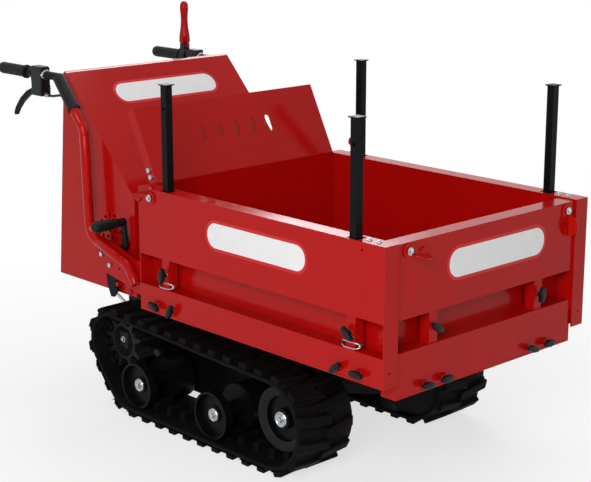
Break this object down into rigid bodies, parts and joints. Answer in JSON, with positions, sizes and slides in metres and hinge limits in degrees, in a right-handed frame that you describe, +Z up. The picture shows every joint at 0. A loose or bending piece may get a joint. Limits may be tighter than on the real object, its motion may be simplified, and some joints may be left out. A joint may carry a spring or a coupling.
{
  "type": "tracked power carrier",
  "caption": "Walk-behind carrier on rubber tracks with a hand-tipped steel load box whose sides and front gate pull out on tubes, removable stakes, a rear engine hood and handlebars.",
  "frame": {"origin": "middle of the machine's outline on the ground", "axes": "+Z up, +Y rearwards from the front gate to the grips, +X to the operator's left"},
  "size_m": [0.7864, 1.6008, 1.022],
  "materials": {
    "red_paint": "glossy red powder coat",
    "black_paint": "semi-gloss black paint",
    "track_rubber": "moulded black rubber",
    "grip_rubber": "soft black grip",
    "black_plastic": "moulded black plastic",
    "zinc_steel": "bright zinc plate",
    "cast_metal": "dark painted casting",
    "engine_alloy": "cast alloy"
  },
  "bodies": {
    "chassis": {"chassis_frame": "black_paint", "right_track_frame": "black_paint", "left_track_frame": "black_paint", "right_track": "track_rubber", "left_track": "track_rubber", "hood": "red_paint", "handlebars": "black_paint", "grips": "grip_rubber", "lever_brackets": "black_plastic", "engine": "engine_alloy", "muffler": "zinc_steel", "fuel_tank": "black_plastic", "gearbox": "cast_metal", "drive_belt": "track_rubber", "latch_striker": "red_paint", "chassis_bolts": "zinc_steel", "control_cables": "black_plastic", "tip_pin": "zinc_steel"},
    "right_drive": {"right_sprocket": "cast_metal"},
    "right_idler_wheel": {"right_idler": "black_paint"},
    "right_front_roller_wheel": {"right_front_roller": "black_paint"},
    "right_rear_roller_wheel": {"right_rear_roller": "black_paint"},
    "left_drive": {"left_sprocket": "cast_metal"},
    "left_idler_wheel": {"left_idler": "black_paint"},
    "left_front_roller_wheel": {"left_front_roller": "black_paint"},
    "left_rear_roller_wheel": {"left_rear_roller": "black_paint"},
    "engine_drive": {"engine_pulley": "cast_metal"},
    "gearbox_drive": {"gearbox_pulley": "cast_metal"},
    "tray": {"tip_frame": "red_paint", "bed_floor": "red_paint", "rear_wall": "red_paint", "headboard": "red_paint", "slide_guides": "red_paint", "dump_handle": "red_paint", "dump_grip": "grip_rubber", "tray_bolts": "zinc_steel"},
    "bed_latch": {"latch_lever": "black_paint", "latch_grip": "black_plastic"},
    "right_wall": {"right_side": "red_paint", "right_slide_tubes": "zinc_steel", "right_knobs": "black_plastic", "right_clips": "zinc_steel"},
    "right_front_post": {"right_front_stake": "black_paint"},
    "right_rear_post": {"right_rear_stake": "black_paint"},
    "right_rear_catch": {"right_rear_latch": "red_paint"},
    "left_wall": {"left_side": "red_paint", "left_slide_tubes": "zinc_steel", "left_knobs": "black_plastic", "left_clips": "zinc_steel"},
    "left_front_post": {"left_front_stake": "black_paint"},
    "left_rear_post": {"left_rear_stake": "black_paint"},
    "left_rear_catch": {"left_rear_latch": "red_paint"},
    "front_wall": {"front_gate": "red_paint", "front_slide_tubes": "zinc_steel", "front_knobs": "black_plastic"},
    "right_front_catch": {"right_front_latch": "red_paint"},
    "right_brake": {"right_lever": "black_paint"},
    "left_front_catch": {"left_front_latch": "red_paint"},
    "left_brake": {"left_lever": "black_paint"},
    "clutch": {"clutch_lever": "red_paint"}
  },
  "joints": [
    {"name": "right_sprocket_spin", "type": "hinge", "parent": "chassis", "child": "right_drive", "pos_m": [0.00635, 0.24145, 0.183], "axis": [1, 0, 0], "continuous": true, "deforming": ["right_track"]},
    {"name": "right_idler_spin", "type": "hinge", "parent": "chassis", "child": "right_idler_wheel", "pos_m": [0.00635, -0.37455, 0.1295], "axis": [1, 0, 0], "continuous": true},
    {"name": "right_front_roller_spin", "type": "hinge", "parent": "chassis", "child": "right_front_roller_wheel", "pos_m": [0.00635, -0.15455, 0.0875], "axis": [1, 0, 0], "continuous": true},
    {"name": "right_rear_roller_spin", "type": "hinge", "parent": "chassis", "child": "right_rear_roller_wheel", "pos_m": [0.00635, 0.14845, 0.0875], "axis": [1, 0, 0], "continuous": true},
    {"name": "left_sprocket_spin", "type": "hinge", "parent": "chassis", "child": "left_drive", "pos_m": [0.00635, 0.24145, 0.183], "axis": [1, 0, 0], "continuous": true, "deforming": ["left_track"]},
    {"name": "left_idler_spin", "type": "hinge", "parent": "chassis", "child": "left_idler_wheel", "pos_m": [0.00635, -0.37455, 0.1295], "axis": [1, 0, 0], "continuous": true},
    {"name": "left_front_roller_spin", "type": "hinge", "parent": "chassis", "child": "left_front_roller_wheel", "pos_m": [0.00635, -0.15455, 0.0875], "axis": [1, 0, 0], "continuous": true},
    {"name": "left_rear_roller_spin", "type": "hinge", "parent": "chassis", "child": "left_rear_roller_wheel", "pos_m": [0.00635, 0.14845, 0.0875], "axis": [1, 0, 0], "continuous": true},
    {"name": "gearbox_pulley_spin", "type": "hinge", "parent": "chassis", "child": "gearbox_drive", "pos_m": [0.03635, 0.23845, 0.27636], "axis": [1, 0, 0], "continuous": true},
    {"name": "engine_pulley_spin", "type": "hinge", "parent": "chassis", "child": "engine_drive", "pos_m": [0.03635, 0.37345, 0.42936], "axis": [1, 0, 0], "continuous": true},
    {"name": "tray_tip", "type": "hinge", "parent": "chassis", "child": "tray", "pos_m": [0.00635, -0.50655, 0.27136], "axis": [1, 0, 0], "range_deg": [0, 60]},
    {"name": "bed_latch_swing", "type": "hinge", "parent": "tray", "child": "bed_latch", "pos_m": [-0.29025, 0.26645, 0.39336], "axis": [1, 0, 0], "range_deg": [-14, 12], "stiffness_Nm_per_rad": 12},
    {"name": "right_wall_slide", "type": "slide", "parent": "tray", "child": "right_wall", "axis": [-1, 0, 0], "range_m": [0, 0.18]},
    {"name": "right_front_stake_lift", "type": "slide", "parent": "right_wall", "child": "right_front_post", "axis": [0, 0, 1], "range_m": [0, 0.18]},
    {"name": "right_rear_stake_lift", "type": "slide", "parent": "right_wall", "child": "right_rear_post", "axis": [0, 0, 1], "range_m": [0, 0.18]},
    {"name": "right_rear_latch_turn", "type": "hinge", "parent": "right_wall", "child": "right_rear_catch", "pos_m": [-0.35065, 0.02145, 0.62336], "axis": [1, 0, 0], "range_deg": [-80, 0]},
    {"name": "left_wall_slide", "type": "slide", "parent": "tray", "child": "left_wall", "axis": [1, 0, 0], "range_m": [0, 0.18]},
    {"name": "left_front_stake_lift", "type": "slide", "parent": "left_wall", "child": "left_front_post", "axis": [0, 0, 1], "range_m": [0, 0.18]},
    {"name": "left_rear_stake_lift", "type": "slide", "parent": "left_wall", "child": "left_rear_post", "axis": [0, 0, 1], "range_m": [0, 0.18]},
    {"name": "left_rear_latch_turn", "type": "hinge", "parent": "left_wall", "child": "left_rear_catch", "pos_m": [0.36335, 0.02145, 0.62336], "axis": [1, 0, 0], "range_deg": [-88, 0]},
    {"name": "front_wall_slide", "type": "slide", "parent": "tray", "child": "front_wall", "axis": [0, -1, 0], "range_m": [0, 0.18]},
    {"name": "right_front_latch_turn", "type": "hinge", "parent": "front_wall", "child": "right_front_catch", "pos_m": [-0.27335, -0.77055, 0.62336], "axis": [0, -1, 0], "range_deg": [-80, 0]},
    {"name": "right_lever_squeeze", "type": "hinge", "parent": "chassis", "child": "right_brake", "pos_m": [-0.26965, 0.62145, 0.822], "axis": [1, 0, 0], "range_deg": [0, 20], "stiffness_Nm_per_rad": 2, "springref_deg": -11.46},
    {"name": "left_front_latch_turn", "type": "hinge", "parent": "front_wall", "child": "left_front_catch", "pos_m": [0.28605, -0.77055, 0.62336], "axis": [0, -1, 0], "range_deg": [-90, 0]},
    {"name": "left_lever_squeeze", "type": "hinge", "parent": "chassis", "child": "left_brake", "pos_m": [0.28235, 0.62145, 0.822], "axis": [1, 0, 0], "range_deg": [0, 20], "stiffness_Nm_per_rad": 2, "springref_deg": -11.46},
    {"name": "clutch_lever_press", "type": "hinge", "parent": "chassis", "child": "clutch", "pos_m": [0.28235, 0.65645, 0.896], "axis": [-1, 0, 0], "range_deg": [0, 60], "stiffness_Nm_per_rad": 2, "springref_deg": -11.46}
  ],
  "couplings": [
    {"joint": "right_idler_spin", "follows": "right_sprocket_spin", "ratio": 0.74875},
    {"joint": "right_front_roller_spin", "follows": "right_sprocket_spin", "ratio": 1.2112},
    {"joint": "right_rear_roller_spin", "follows": "right_sprocket_spin", "ratio": 1.2112},
    {"joint": "left_idler_spin", "follows": "left_sprocket_spin", "ratio": 0.74875},
    {"joint": "left_front_roller_spin", "follows": "left_sprocket_spin", "ratio": 1.2112},
    {"joint": "left_rear_roller_spin", "follows": "left_sprocket_spin", "ratio": 1.2112},
    {"joint": "engine_pulley_spin", "follows": "gearbox_pulley_spin", "ratio": 1.3}
  ]
}
